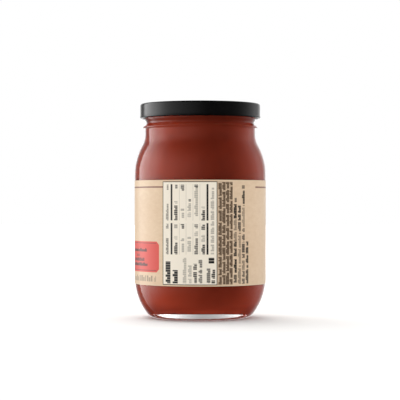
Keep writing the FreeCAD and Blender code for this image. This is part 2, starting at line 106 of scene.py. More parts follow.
# The paper wrap, and the flap that laps over its start.
PAPER = 0.058
PAPER_CLEARANCE = 0.03
PAPER_HEEL_LAP = 3.85
FLAP_SPAN = math.radians(11)
FLAP_LIFT_START = math.radians(2.5)
FLAP_LIFT_SPAN = math.radians(2)

# The lid, and the places that follow from its sizes.
LID_SHEET = 0.5
LID_HEIGHT = 8.8
LID_CLEARANCE = 1.05
LID_CORNER = 1.2
CURL = 0.85
CURL_PROUD = 0.2
COMPOUND = 0.6
COMPOUND_OVERHANG = 0.3
PANEL_DROP = 1.0
PANEL_CLEARANCE = 1.6
PANEL_SLOPE = 0.7
BUTTON = 12.5
BUTTON_RISE = 0.45
LUG_HIGH = 1.25
LUG_GAP = 0.15
LUG_REACH = 0.9
LUG_SPAN = math.radians(20)
LUG_END = math.radians(5)
LID_TOP = RIM + COMPOUND + LID_SHEET
LID_BOTTOM = LID_TOP - LID_HEIGHT
SKIRT_INSIDE = FINISH + THREAD_DEPTH + LID_CLEARANCE
SKIRT = SKIRT_INSIDE + LID_SHEET
CURL_AXIS = (SKIRT + CURL_PROUD - CURL, LID_BOTTOM + CURL)
PANEL = LID_TOP - PANEL_DROP
PANEL_STEP = BORE - PANEL_CLEARANCE - LID_SHEET
COMPOUND_EDGE = FINISH + COMPOUND_OVERHANG
THREAD_LOW = LID_BOTTOM + LUG_HIGH + LUG_GAP

# Where the curves of the body have their axes.
WALL_AXIS = BODY - HEEL_RADIUS
NECK_AXIS = (NECK + NECK_CURVE, NECK_FOOT)
SHOULDER_SPAN = SHOULDER_RADIUS + NECK_CURVE
WALL_TOP = NECK_FOOT - math.sqrt(SHOULDER_SPAN ** 2 - (NECK_AXIS[0] - WALL_AXIS) ** 2)
HEEL_AXIS = (WALL_AXIS, HEEL_HEIGHT)
SHOULDER_AXIS = (WALL_AXIS, WALL_TOP)

# How finely the round pieces are cut.
GLASS_SEGMENTS = 384
SAUCE_SEGMENTS = 240
PAPER_SEGMENTS = 490
LID_SEGMENTS = 288
SHARP = math.radians(32)
HAIR = 0.01  # enough to tell one wall from the next


# --- Plane geometry, on (radius, height) pairs ----------------------------------------------------------

def towards(start, end, distance):
    """The point that lies this far from start on the way to end, or beyond it."""
    share = distance / math.dist(start, end)
    return (start[0] + (end[0] - start[0]) * share, start[1] + (end[1] - start[1]) * share)


def crossing(centre, radius, other, other_radius):
    """Where two circles cross, on the right of the way from the first centre to the second."""
    apart = math.dist(centre, other)
    along = (apart ** 2 + radius ** 2 - other_radius ** 2) / (2 * apart)
    off = math.sqrt(radius ** 2 - along ** 2)
    x, y = towards(centre, other, along)
    ux, uy = towards((0, 0), (other[0] - centre[0], other[1] - centre[1]), 1)
    return (x + uy * off, y - ux * off)


def cross_tangent(centre, radius, other, other_radius, side):
    """Where a line that passes between two circles touches them: side 1 leaves on the right, -1 left."""
    apart = math.dist(centre, other)
    ux, uy = towards((0, 0), (other[0] - centre[0], other[1] - centre[1]), 1)
    cosine = (radius + other_radius) / apart
    sine = side * math.sqrt(1 - cosine ** 2)
    nx, ny = ux * cosine + uy * sine, uy * cosine - ux * sine
    return (
        (centre[0] + radius * nx, centre[1] + radius * ny),
        (other[0] - other_radius * nx, other[1] - other_radius * ny),
    )


class Section:
    """The outline of a round piece, walked from its start: points are (radius, height)."""

    def __init__(self, *start):
        self.points = [start]
        self.paint = []

    def line(self, end, step=2.0, paint=0):
        """A straight run to end, with a point at every step."""
        start = self.points[-1]
        count = max(1, math.ceil(math.dist(start, end) / step))
        for k in range(1, count + 1):
            self.add(towards(start, end, math.dist(start, end) * k / count), paint)

    def arc(self, centre, end, clockwise=False, step=5.0, chord=2.0, paint=0):
        """An arc round centre to end, in steps of at most so many degrees and so long a chord."""
        start = self.points[-1]
        radius = math.dist(centre, start)
        first = math.atan2(start[1] - centre[1], start[0] - centre[0])
        turn = math.atan2(end[1] - centre[1], end[0] - centre[0]) - first
        turn = -(-turn % math.tau) if clockwise else turn % math.tau
        count = max(2, math.ceil(max(abs(turn) / math.radians(step), abs(turn) * radius / chord)))
        for k in range(1, count + 1):
            angle = first + turn * k / count
            self.add((centre[0] + radius * math.cos(angle), centre[1] + radius * math.sin(angle)), paint)

    def add(self, point, paint):
        self.points.append(point)
        self.paint.append(paint)


# --- Meshes ---------------------------------------------------------------------------------------------

def corner_angles(points):
    """How far the outline turns at each of its points, from its start to its end."""
    angles = []
    for before, point, after in zip([points[0], *points], points, [*points[1:], points[-1]]):
        into = (point[0] - before[0], point[1] - before[1])
        out = (after[0] - point[0], after[1] - point[1])
        turn = math.atan2(into[0] * out[1] - into[1] * out[0], into[0] * out[0] + into[1] * out[1])
        angles.append(abs(turn))
    return angles


def add_object(name, data):
    """A new object in the scene."""
    thing = bpy.data.objects.new(name, data)
    bpy.context.collection.objects.link(thing)
    return thing


def make_piece(name, verts, faces, paints=None):
    """A smooth piece from points in metres: paints holds the place of each face's material."""
    mesh = bpy.data.meshes.new(name)
    mesh.from_pydata(verts, [], faces)
    if paints is not None:
        mesh.polygons.foreach_set("material_index", paints)
    mesh.polygons.foreach_set("use_smooth", [True] * len(mesh.polygons))
    mesh.update()
    return add_object(name, mesh)


def lathe(name, section, segments, relief=None):
    """A closed round mesh from an outline that begins and ends on the axis.

    relief takes arrays of angles, radii and heights and returns how far to move the points along both.
    """
    ring_points = section.points[1:-1]
    rings = len(ring_points)
    angle, radius = np.meshgrid(np.arange(segments) * math.tau / segments, [p[0] for p in ring_points])
    height = np.repeat([[p[1]] for p in ring_points], segments, axis=1)
    if relief is not None:
        out, up = relief(angle, radius, height)
        radius, height = radius + out, height + up
    x, y = radius * np.sin(angle), -radius * np.cos(angle)
    verts = (np.stack([x, y, height], axis=-1).reshape(-1, 3) * MM).tolist()
    first, last = len(verts), len(verts) + 1
    verts.append((0, 0, section.points[0][1] * MM))
    verts.append((0, 0, section.points[-1][1] * MM))
    faces, paints = [], []
    for k in range(segments):
        after = (k + 1) % segments
        faces.append((first, after, k))
        paints.append(section.paint[0])
        for ring in range(rings - 1):
            low, high = ring * segments, (ring + 1) * segments
            faces.append((low + k, low + after, high + after, high + k))
            paints.append(section.paint[ring + 1])
        top = (rings - 1) * segments
        faces.append((top + k, top + after, last))
        paints.append(section.paint[-1])
    piece = make_piece(name, verts, faces, paints)
    turns = corner_angles(section.points)
    sharp_rings = {ring for ring in range(rings) if turns[ring + 1] > SHARP}
    mark_sharp(piece.data, sharp_rings, segments, rings * segments)
    return piece


def mark_sharp(mesh, sharp_rings, segments, ring_verts):
    """Marks the edges that run round the piece where its outline has a corner."""
    ends = np.empty(len(mesh.edges) * 2, dtype=int)
    mesh.edges.foreach_get("vertices", ends)
    ends = ends.reshape(-1, 2)
    ring = ends // segments
    along = (ring[:, 0] == ring[:, 1]) & (ends < ring_verts).all(axis=1)
    sharp = along & np.isin(ring[:, 0], list(sharp_rings))
    mesh.attributes.new("sharp_edge", "BOOLEAN", "EDGE").data.foreach_set("value", sharp)


def bump(value, low, high, slope):
    """1 between low and high and 0 outside, with a smooth rise so wide at each end."""
    rise = np.clip((value - low) / slope, 0, 1) * np.clip((high - value) / slope, 0, 1)
    return rise * rise * (3 - 2 * rise)


# --- The glass ------------------------------------------------------------------------------------------

def glass_section():
    """The jar's outline, from the middle of its underside round the rim to the middle of its floor."""
    foot_reach = math.sqrt((HEEL_RADIUS - FOOT_RADIUS) ** 2 - (HEEL_HEIGHT - FOOT_RADIUS) ** 2)
    foot_axis = (WALL_AXIS + foot_reach, FOOT_RADIUS)
    ring = foot_axis[0] - FOOT_WIDTH
    dome_edge = (ring - PUSH_UP_STEP, PUSH_UP_STEP)
    dome_rise = PUSH_UP_HEIGHT - PUSH_UP_STEP
    dome_radius = (dome_edge[0] ** 2 + dome_rise ** 2) / (2 * dome_rise)
    fillet_axis = (NECK + BEAD_FILLET, BEAD_UNDER - BEAD_FILLET)
    nose_axis = (NECK + BEAD_STEP - BEAD_NOSE, BEAD_UNDER + BEAD_NOSE)
    groove_axis = (NECK - GROOVE_STEP + GROOVE_ROUND, GROOVE_HEIGHT)
    finish_axis = (FINISH - FINISH_ROUND, FINISH_FOOT)
    bead_top, groove_foot = cross_tangent(nose_axis, BEAD_NOSE, groove_axis, GROOVE_ROUND, 1)
    groove_top, finish_foot = cross_tangent(groove_axis, GROOVE_ROUND, finish_axis, FINISH_ROUND, -1)
    lip_axis = (FINISH - RIM_OUTER_ROUND, RIM - RIM_OUTER_ROUND)
    mouth_axis = (BORE + RIM_INNER_ROUND, RIM - RIM_INNER_ROUND)

    section = Section(0, PUSH_UP_HEIGHT)
    section.arc((0, PUSH_UP_HEIGHT - dome_radius), dome_edge, clockwise=True)
    section.line((ring, 0), step=0.25)
    section.line((foot_axis[0], 0), step=0.3)
    section.arc(foot_axis, towards(HEEL_AXIS, foot_axis, HEEL_RADIUS), step=3)
    section.arc(HEEL_AXIS, (BODY, HEEL_HEIGHT))
    section.line((BODY, WALL_TOP), step=4)
    section.arc(SHOULDER_AXIS, towards(SHOULDER_AXIS, NECK_AXIS, SHOULDER_RADIUS))
    section.arc(NECK_AXIS, (NECK, NECK_FOOT), clockwise=True)
    section.line((NECK, fillet_axis[1]), step=0.7)
    section.arc(fillet_axis, (fillet_axis[0], BEAD_UNDER), clockwise=True, step=15)
    section.line((nose_axis[0], BEAD_UNDER), step=0.3)
    section.arc(nose_axis, bead_top, step=10)
    section.line(groove_foot, step=0.3)
    section.arc(groove_axis, groove_top, clockwise=True, step=8)
    section.line(finish_foot, step=0.3)
    section.arc(finish_axis, (FINISH, FINISH_FOOT), step=12)
    section.line((FINISH, lip_axis[1]), step=0.3)
    section.arc(lip_axis, (lip_axis[0], RIM), step=10)
    section.line((mouth_axis[0], RIM), step=0.5)
    section.arc(mouth_axis, (BORE, mouth_axis[1]), step=10)
    section.line((BORE, NECK_FOOT), step=3)
    add_inside(section, WALL)
    return section


def add_inside(section, skin):
    """Walks down the inside of the jar from the neck to the middle of the floor, skin deep in the wall."""
    heel, corner = HEEL_RADIUS - skin, FLOOR_CORNER + WALL - skin
    dome, floor = FLOOR_CURVE - WALL + skin, PUSH_UP_HEIGHT + BASE_THICKNESS - WALL + skin
    dome_axis = (0, floor - dome)
    corner_axis = crossing(dome_axis, dome + corner, HEEL_AXIS, heel - corner)
    section.arc(NECK_AXIS, towards(NECK_AXIS, SHOULDER_AXIS, NECK_CURVE + skin))
    section.arc(SHOULDER_AXIS, (BODY - skin, WALL_TOP), clockwise=True)
    section.line((BODY - skin, HEEL_HEIGHT), step=5)
    section.arc(HEEL_AXIS, towards(HEEL_AXIS, corner_axis, heel), clockwise=True)
    section.arc(corner_axis, towards(dome_axis, corner_axis, dome), clockwise=True, step=3)
    section.arc(dome_axis, (0, floor))


def glass_relief(angle, radius, height):
    """The thread leads round the finish, and the knurls that the jar stands on."""
    out = np.zeros_like(radius)
    taper = (THREAD_ROOT - THREAD_CREST) / 2
    outside = radius > FINISH - HAIR
    for lead in range(LEADS):
        along = (angle - math.pi / 2 - lead * math.tau / LEADS) % math.tau
        above = height - THREAD_LOW - THREAD_RISE * along / THREAD_SPAN
        ridge = bump(above, 0, THREAD_ROOT, taper) * bump(along, 0, THREAD_SPAN, THREAD_END)
        out += THREAD_DEPTH * ridge * outside
    ring = (radius > KNURL_RING[0]) & (radius < KNURL_RING[1]) & (height < KNURL_HEIGHT)
    low = np.clip(1 - height / KNURL_HEIGHT, 0, 1)
    between = np.clip(0.5 - np.cos(angle * KNURLS), 0, 1)
    return out, KNURL_DEPTH * between * low * ring


# --- Nodes ----------------------------------------------------------------------------------------------

MIX_UNDER, MIX_OVER, MIX_COLOUR = 6, 7, 2  # the colour sockets of a Mix node: two inputs, one output


class Field:
    """A number that varies over a surface, made by the nodes of one material, with plain arithmetic."""

    def __init__(self, tree, socket):
        self.tree = tree
        self.socket = socket

    def math(self, operation, *others):
        node = self.tree.nodes.new("ShaderNodeMath")
        node.operation = operation
        for place, value in enumerate((self, *others)):
            if isinstance(value, Field):
                self.tree.links.new(value.socket, node.inputs[place])
            else:
                node.inputs[place].default_value = value
        return Field(self.tree, node.outputs[0])

    def __add__(self, other):
        return self.math("ADD", other)

    def __sub__(self, other):
        return self.math("SUBTRACT", other)

    def __mul__(self, other):
        return self.math("MULTIPLY", other)

    def __truediv__(self, other):
        return self.math("MULTIPLY", 1 / other)

    def __neg__(self):
        return self * -1

    def __invert__(self):
        """1 where the field is 0, and 0 where it is 1."""
        return self * -1 + 1

    def __and__(self, other):
        return self.math("MULTIPLY", other)

    def __or__(self, other):
        return self.math("MAXIMUM", other)

    def over(self, level):
        return self.math("GREATER_THAN", level)

    def between(self, low, high):
        return self.math("COMPARE", (low + high) / 2, (high - low) / 2)


class Material:
    """A new material with a Principled shader, and short ways to the nodes that these pieces use."""

    def __init__(self, name, **settings):
        self.material = bpy.data.materials.new(name)
        self.material.use_nodes = True
        self.tree = self.material.node_tree
        self.shader = self.tree.nodes["Principled BSDF"]
        self.output = self.tree.nodes["Material Output"]
        for socket, value in settings.items():
            self.shader.inputs[socket.replace("_", " ")].default_value = value
        self.point = self.node("ShaderNodeTexCoord").outputs["Object"]

    def node(self, kind, **properties):
        node = self.tree.nodes.new(kind)
        for key, value in properties.items():
            setattr(node, key, value)
        return node

    def link(self, source, target):
        self.tree.links.new(source.socket if isinstance(source, Field) else source, target)

    def axes(self):
        """The point's place along X, Y and Z, in millimetres."""
        split = self.node("ShaderNodeSeparateXYZ")
        self.link(self.point, split.inputs[0])
        return [Field(self.tree, output) * (1 / MM) for output in split.outputs]

    def noise(self, scale, detail=3.0, stretch=(1, 1, 1), roughness=0.5):
        """Soft noise, whose grain is about 1 / scale millimetres."""
        mapping = self.node("ShaderNodeMapping")
        mapping.inputs["Scale"].default_value = stretch
        self.link(self.point, mapping.inputs["Vector"])
        noise = self.node("ShaderNodeTexNoise")
        noise.inputs["Scale"].default_value = scale / MM
        noise.inputs["Detail"].default_value = detail
        noise.inputs["Roughness"].default_value = roughness
        self.link(mapping.outputs[0], noise.inputs["Vector"])
        return Field(self.tree, noise.outputs["Fac"])

    def ramp(self, field, low, high, low_value=0.0, high_value=1.0):
        """The field taken from low..high to low_value..high_value, and held there."""
        node = self.node("ShaderNodeMapRange", clamp=True)
        self.link(field, node.inputs["Value"])
        set_range(node, low, high, low_value, high_value)
        return Field(self.tree, node.outputs[0])

    def mix(self, field, under, over):
        """Colour under, and over where the field is 1."""
        node = self.node("ShaderNodeMix", data_type="RGBA")
        self.link(field, node.inputs["Factor"])
        for place, colour in ((MIX_UNDER, under), (MIX_OVER, over)):
            if isinstance(colour, tuple):
                node.inputs[place].default_value = colour
            else:
                self.link(colour, node.inputs[place])
        return node.outputs[MIX_COLOUR]

    def bumps(self, field, height, strength=1.0):
        """Low relief from a field: height is in millimetres."""
        node = self.node("ShaderNodeBump")
        node.inputs["Strength"].default_value = strength
        node.inputs["Distance"].default_value = height * MM
        self.link(field, node.inputs["Height"])
        return node.outputs[0]


def set_range(node, *values):
    """Sets a Map Range node: where the value comes from and where it goes, low and high."""
    for socket, value in zip(("From Min", "From Max", "To Min", "To Max"), values):
        node.inputs[socket].default_value = value


def srgb(red, green, blue):
    """A colour given as it shows on a screen, 0 to 255, as the linear colour that a shader takes."""
    shares = [value / 255 for value in (red, green, blue)]
    return (*(v / 12.92 if v <= 0.04045 else ((v + 0.055) / 1.055) ** 2.4 for v in shares), 1.0)


# --- Materials ------------------------------------------------------------------------------------------

# Pairs of colours that noise mixes over a surface.
GLASS_TINTS = (0.975, 0.985, 0.98, 1), (0.985, 0.99, 0.985, 1)
SAUCE_REDS = srgb(132, 44, 29), srgb(142, 50, 34)
LACQUER_BLACKS = srgb(3, 3, 4), srgb(7, 7, 8)
COMPOUND_CREAMS = srgb(214, 206, 190), srgb(226, 220, 206)
PAPER_BROWNS = srgb(218, 191, 160), srgb(222, 197, 167)
FIBRE_BROWN = srgb(204, 172, 136)

# The sauce is wet: a share of it is oil, whose gloss is soft, and a clear film meets the glass.
OIL = (0.5, 0.072, 0.03, 1)
OIL_SHARE = 0.3
OIL_ROUGHNESS = 0.5
FILM_ROUGHNESS = 0.1
GLASS_IOR = 1.52
SAUCE_IN_GLASS = 1.45 / GLASS_IOR


def glass_material():
    """Clear flint glass: hardly any colour, and a faint unevenness that bends what shows through it."""
    glass = Material("clear_glass", IOR=GLASS_IOR, Transmission_Weight=1.0, Roughness=0.0)
    tint = glass.mix(glass.noise(0.02), *GLASS_TINTS)
    glass.link(tint, glass.shader.inputs["Base Color"])
    glass.link(glass.bumps(glass.noise(0.045, detail=1), 0.02, 0.5), glass.shader.inputs["Normal"])
    return glass.material


def sauce_material():
    """Smooth red sauce, wet against the glass: body, then the gloss of its oil, then a clear film."""
    sauce = Material("red_sauce", Roughness=0.5, Specular_IOR_Level=0.0)
    pulp = sauce.ramp(sauce.noise(0.06, detail=5, roughness=0.6), 0.35, 0.7)
    sauce.link(sauce.mix(pulp, *SAUCE_REDS), sauce.shader.inputs["Base Color"])
    oil = sauce.node("ShaderNodeBsdfGlossy")
    oil.inputs["Roughness"].default_value = OIL_ROUGHNESS
    oil.inputs["Color"].default_value = OIL
    wet = sauce.node("ShaderNodeMixShader")
    wet.inputs[0].default_value = OIL_SHARE
    sauce.link(sauce.shader.outputs[0], wet.inputs[1])
    sauce.link(oil.outputs[0], wet.inputs[2])
    film = sauce.node("ShaderNodeBsdfGlossy")
    film.inputs["Roughness"].default_value = FILM_ROUGHNESS
    film.inputs["Color"].default_value = (1, 1, 1, 1)
    meeting = sauce.node("ShaderNodeFresnel")
    meeting.inputs["IOR"].default_value = SAUCE_IN_GLASS
    skin = sauce.node("ShaderNodeMixShader")
    sauce.link(meeting.outputs[0], skin.inputs[0])
    sauce.link(wet.outputs[0], skin.inputs[1])
    sauce.link(film.outputs[0], skin.inputs[2])
    sauce.link(skin.outputs[0], sauce.output.inputs["Surface"])
    return sauce.material


def lid_material():
    """Black lacquer on sheet steel."""
    lid = Material("black_lacquer", Roughness=0.2, IOR=1.62)
    flow = lid.noise(0.05, detail=4)
    lid.link(lid.mix(flow, *LACQUER_BLACKS), lid.shader.inputs["Base Color"])
    lid.link(lid.ramp(lid.noise(0.3, detail=6), 0.3, 0.7, 0.16, 0.24), lid.shader.inputs["Roughness"])
    lid.link(lid.bumps(lid.noise(0.8, detail=2), 0.002, 0.4), lid.shader.inputs["Normal"])
    return lid.material


def compound_material():
    """The pale sealing compound and enamel inside the lid."""
    compound = Material("pale_compound", Roughness=0.55)
    cloud = compound.noise(0.2, detail=4)
    compound.link(compound.mix(cloud, *COMPOUND_CREAMS), compound.shader.inputs["Base Color"])
    return compound.material


# --- The print ------------------------------------------------------------------------------------------

# Places in millimetres, along the paper from the middle of the seen side and up from the foot.
PANEL_LEFT, PANEL_RIGHT = -23.0, 10.0
PANEL_LOW, PANEL_HIGH = 21.4, 81.4
PANEL_LINE = 0.42
PANEL_BARS = (-17.1, 4.2)
BAR_HALF = 0.55
UPPER, LOWER = (58.8, 79.8), (39.1, 57.3)
HAIR_RULES = (-13.5, 0.5)
HAIR_RULE_OFFSET = 2.0
SMALL_RIGHT = 19.6
RULE_LEFT, RULE_RIGHT = PANEL_LEFT, 38.0
RULE_LOW, RULE_HIGH = 77.8, 78.6
BADGE_MIDDLE, BADGE_RIGHT = -47.0, -25.7
BADGE_LEFT = 2 * BADGE_MIDDLE - BADGE_RIGHT
BADGE_LOW, BADGE_HIGH = 28.4, 46.4
BADGE_CORNER = 1.9
BADGE_HAIRS = (BADGE_LOW + 0.9, BADGE_LOW + 1.3), (BADGE_HIGH - 1.2, BADGE_HIGH - 0.8)
BADGE_HAIR_INSET = 2

INK = srgb(30, 29, 27)
SMALL_INK = srgb(88, 66, 44)
RULE_INK = srgb(128, 84, 70)
RED_INK = srgb(211, 74, 64)
CREAM = srgb(238, 229, 212)

# How dark the thin marks are, as shares of the ink: the ground behind the small print, the rules between
# the panel's rows, the hair lines on the badge, and what is between the strokes of a word.
SMALL_GROUND = 0.22
HAIR_RULE_WEIGHT = 0.35
HAIR_RULE_SHARE = 0.06
BADGE_HAIR_WEIGHT = 0.55
SPREAD = 0.4

# The strokes: the gap between words, how far each line is shifted along itself against the one before, how
# many strokes are as tall as the line, and how much lower the others are.
WORD_GAP = 0.4
LINE_SHIFT = 37.3
TALL_SHARE = 0.45
LOWER_BY = 0.3

# Blocks of print, as lines() takes them. Each line is a row of runs: start, end, weight of the ink.
ROWS = dict(first=-14.4, apart=4.03, height=2.1, letter=1.05, runs=(
    ((39.2, 46.1, 0.95), (47.5, 49.8, 0.3), (54.2, 56.6, 0.6),
     (58.9, 67.5, 0.95), (68.5, 70.0, 0.4), (77.2, 79.5, 0.85)),
    ((40.5, 45.6, 0.5), (46.9, 48.4, 0.55), (54.1, 56.7, 0.95),
     (60.2, 63.4, 0.5), (64.3, 65.7, 0.55), (75.9, 79.5, 0.85)),
    ((40.7, 47.1, 0.45), (48.3, 49.4, 0.55), (60.5, 63.5, 0.35), (64.3, 68.7, 0.5), (69.7, 71.1, 0.9)),
    ((39.3, 48.6, 0.85), (49.7, 52.5, 0.4), (54.3, 56.6, 0.75), (61.3, 77.0, 0.5), (77.3, 79.5, 0.95)),
    ((39.2, 45.0, 1.0), (46.4, 50.5, 0.45), (53.2, 56.6, 0.9), (58.8, 64.7, 1.0), (65.4, 67.1, 0.3)),
))
ROWS_HEAD = dict(first=-19.9, apart=4.0, height=1.7, letter=0.9, runs=(
    ((39.1, 48.6, 0.8), (54.1, 56.9, 0.7), (58.8, 68.5, 0.7), (76.5, 79.6, 0.7)),
))
ROWS_FOOT = dict(first=7.1, apart=4.0, height=2.0, letter=1.0, word=5.0, runs=(((39.3, 77.7, 0.5),),))
TITLE = dict(first=-19.4, apart=4.6, height=3.2, letter=1.45, fill=0.85, runs=(
    ((22.3, 35.1, 1.0),), ((22.4, 30.1, 1.0),),
))
SERVING = dict(first=-9.1, apart=3.07, height=2.1, letter=1.05, runs=(
    ((22.5, 37.2, 0.45),), ((22.5, 25.2, 0.4), (26.2, 33.0, 0.45)),
    ((22.6, 29.0, 0.95), (30.2, 33.8, 0.9)), ((22.6, 27.4, 0.8), (28.2, 30.4, 0.9), (31.4, 36.2, 0.85)),
))
ENERGY = dict(first=4.8, apart=2.8, height=2.1, letter=1.15, runs=(
    ((22.6, 31.2, 0.9),), ((22.5, 24.2, 1.0), (25.2, 30.5, 1.0)),
))
ENERGY_FIGURE = dict(first=6.5, apart=3.6, height=3.3, letter=1.7, fill=0.8, runs=(((34.0, 37.4, 1.0),),))
SMALL_PRINT = dict(first=11.65, apart=2.3, height=2.0, letter=0.8, word=8.0, fill=0.85, runs=(
    (((21.8, 81.0, 1.0),),) * 4
))
SOURCE = dict(first=21.3, apart=2.95, height=2.15, letter=0.95, word=11.0, fill=0.85, runs=(
    ((21.8, 27.3, 0.85), (28.3, 37.1, 1.0), (38.0, 46.5, 0.95), (46.5, 59.4, 0.6), (59.9, 68.5, 1.0),
     (69.3, 71.8, 0.75)),
    ((21.9, 32.6, 0.6), (33.5, 50.0, 0.55), (51.0, 57.9, 0.85), (58.7, 67.4, 0.95)),
    ((21.8, 29.4, 0.8), (30.0, 35.4, 0.6), (36.6, 39.2, 0.85), (40.0, 45.2, 0.9), (45.8, 50.6, 0.8),
     (52.0, 54.3, 0.7), (54.3, 66.2, 0.5), (67.2, 76.1, 0.95), (77.1, 79.3, 0.75)),
    ((22.0, 32.8, 0.9), (33.7, 38.6, 0.95), (39.4, 46.4, 0.95)),
))
BADGE_PRINT = dict(first=-41.3, apart=2.8, height=1.9, letter=1.3, runs=(
    ((-58.0, -36.0, 1.0),), ((-49.5, -44.5, 0.6),), ((-55.2, -38.8, 0.9),), ((-58.6, -35.4, 1.0),),
))
BELOW_BADGE = dict(first=-24.7, apart=8.0, height=3.4, letter=1.9, word=9.0, fill=0.6, runs=(
    ((-66.0, -28.1, 0.5),),
))


def paper_material():
    """Uncoated brown paper with its print: a panel of lines, small print, a rule and a red badge."""
    paper = Material("brown_paper", Roughness=0.38, IOR=1.5, Specular_IOR_Level=0.7)
    x, y, z = paper.axes()
    along = x.math("ARCTAN2", -y) * BODY
    fibres = paper.noise(0.25, detail=6, stretch=(1, 1, 2.2), roughness=0.65)
    clouds = paper.noise(0.035, detail=3)
    base = paper.mix(paper.ramp(clouds, 0.35, 0.65), *PAPER_BROWNS)
    base = paper.mix(paper.ramp(fibres, 0.35, 0.75, 0.0, 0.5), base, FIBRE_BROWN)
    colour = add_print(paper, base, along, z)
    paper.link(colour, paper.shader.inputs["Base Color"])
    paper.link(paper.bumps(fibres, 0.02, 0.4), paper.shader.inputs["Normal"])
    return paper.material


def rectangle(along, up, left, right, low, high):
    """1 inside the rectangle and 0 outside."""
    return along.between(left, right) & up.between(low, high)


def words(paper, along, length):
    """Runs of uneven length, about so long, with short gaps, as words make along a line."""
    cells = paper.node("ShaderNodeTexVoronoi", voronoi_dimensions="1D", feature="DISTANCE_TO_EDGE")
    cells.inputs["Scale"].default_value = 1.0
    paper.link(along / length, cells.inputs["W"])
    return Field(paper.tree, cells.outputs["Distance"]).over(WORD_GAP / length)


def lines(paper, along, across, first, apart, height, letter, runs, word=0.0, fill=0.68):
    """Lines of strokes that stand for letters without being any.

    along runs with the reading and across goes down the page. first is the middle of the first line,
    apart the way to the next, height that of a line and letter the pitch of its strokes. fill is the
    share of that pitch that a stroke takes, and word about how long a word is, or 0 for none.
    """
    count = across / apart + (0.5 - first / apart)
    number = count.math("FLOOR")
    down = (count - number - 0.5) * apart
    reading = along + number * LINE_SHIFT
    place = reading / letter
    chance = paper.node("ShaderNodeTexWhiteNoise", noise_dimensions="1D")
    paper.link(place.math("FLOOR"), chance.inputs["W"])
    short = Field(paper.tree, chance.outputs["Value"]).over(TALL_SHARE)
    stroke = place.math("FRACT").math("LESS_THAN", fill) * (1 - SPREAD) + SPREAD
    stroke = stroke & (down + height / 2 - short * (LOWER_BY * height)).over(0) & (-down + height / 2).over(0)
    if word:
        stroke = stroke & words(paper, reading, word)
    weight = None
    for line, parts in enumerate(runs):
        inked = None
        for start, end, ink in parts:
            run = along.between(start, end) * ink
            inked = inked | run if inked else run
        row = inked & number.between(line - 0.5, line + 0.5)
        weight = weight | row if weight else row
    return stroke & weight


def add_print(paper, base, along, up):
    """All the print: it reads up the jar, apart from the badge and the line under it."""
    small = lines(paper, up, along, **SMALL_PRINT)
    ground = rectangle(along, up, PANEL_RIGHT, SMALL_RIGHT, PANEL_LOW, PANEL_HIGH) * SMALL_GROUND
    colour = paper.mix(small | ground, base, SMALL_INK)
    colour = paper.mix(lines(paper, up, along, **SOURCE), colour, INK)
    rule = up.between(RULE_LOW, RULE_HIGH) & ~along.between(RULE_LEFT, RULE_RIGHT)
    colour = paper.mix(rule, colour, RULE_INK)
    colour = add_badge(paper, colour, along, up)
    panel = rectangle(along, up, PANEL_LEFT, PANEL_RIGHT, PANEL_LOW, PANEL_HIGH)
    inside = rectangle(
        along, up, PANEL_LEFT + PANEL_LINE, PANEL_RIGHT - PANEL_LINE, PANEL_LOW + PANEL_LINE,
        PANEL_HIGH - PANEL_LINE,
    )
    colour = paper.mix(inside, paper.mix(panel, colour, INK), CREAM)
    return paper.mix(panel_ink(paper, along, up) & inside, colour, INK)


def panel_ink(paper, along, up):
    """The panel: two pairs of thick bars with lines and hair rules between them, over a heading."""
    ink = lines(paper, up, along, **ROWS)
    for bar in PANEL_BARS:
        for low, high in (LOWER, UPPER):
            ink = ink | rectangle(along, up, bar - BAR_HALF, bar + BAR_HALF, low, high)
    pitch = ROWS["apart"]
    hairs = along / pitch + (HAIR_RULE_OFFSET - ROWS["first"]) / pitch
    hairs = hairs.math("FRACT").math("LESS_THAN", HAIR_RULE_SHARE)
    hairs = hairs & along.between(*HAIR_RULES) & (up.between(*UPPER) | up.between(*LOWER))
    ink = ink | hairs * HAIR_RULE_WEIGHT
    for block in (ROWS_HEAD, ROWS_FOOT, TITLE, SERVING, ENERGY, ENERGY_FIGURE):
        ink = ink | lines(paper, up, along, **block)
    return ink


def add_badge(paper, colour, along, up):
    """A red badge with clipped corners and two hair lines, four lines of print on it and one below."""
    badge = rectangle(along, up, BADGE_LEFT, BADGE_RIGHT, BADGE_LOW, BADGE_HIGH)
    outward = (along - BADGE_MIDDLE).math("ABSOLUTE") + (up - (BADGE_LOW + BADGE_HIGH) / 2).math("ABSOLUTE")
    corner = (BADGE_RIGHT - BADGE_MIDDLE) + (BADGE_HIGH - BADGE_LOW) / 2 - BADGE_CORNER
    badge = badge & outward.math("LESS_THAN", corner)
    colour = paper.mix(badge, colour, RED_INK)
    low_hair, high_hair = (up.between(*hair) for hair in BADGE_HAIRS)
    hair = low_hair | high_hair
    hair = hair & along.between(BADGE_LEFT + BADGE_HAIR_INSET, BADGE_RIGHT - BADGE_HAIR_INSET)
    print_on = lines(paper, along, -up, **BADGE_PRINT)
    colour = paper.mix(hair * BADGE_HAIR_WEIGHT | print_on, colour, INK)
    return paper.mix(lines(paper, along, -up, **BELOW_BADGE), colour, INK)


# --- The pieces -----------------------------------------------------------------------------------------

def make_glass():
    """The jar itself, in clear glass."""
    piece = lathe("jar_glass", glass_section(), GLASS_SEGMENTS, glass_relief)
    piece.data.materials.append(glass_material())
    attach(piece, "root")
    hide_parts("glass_jar")


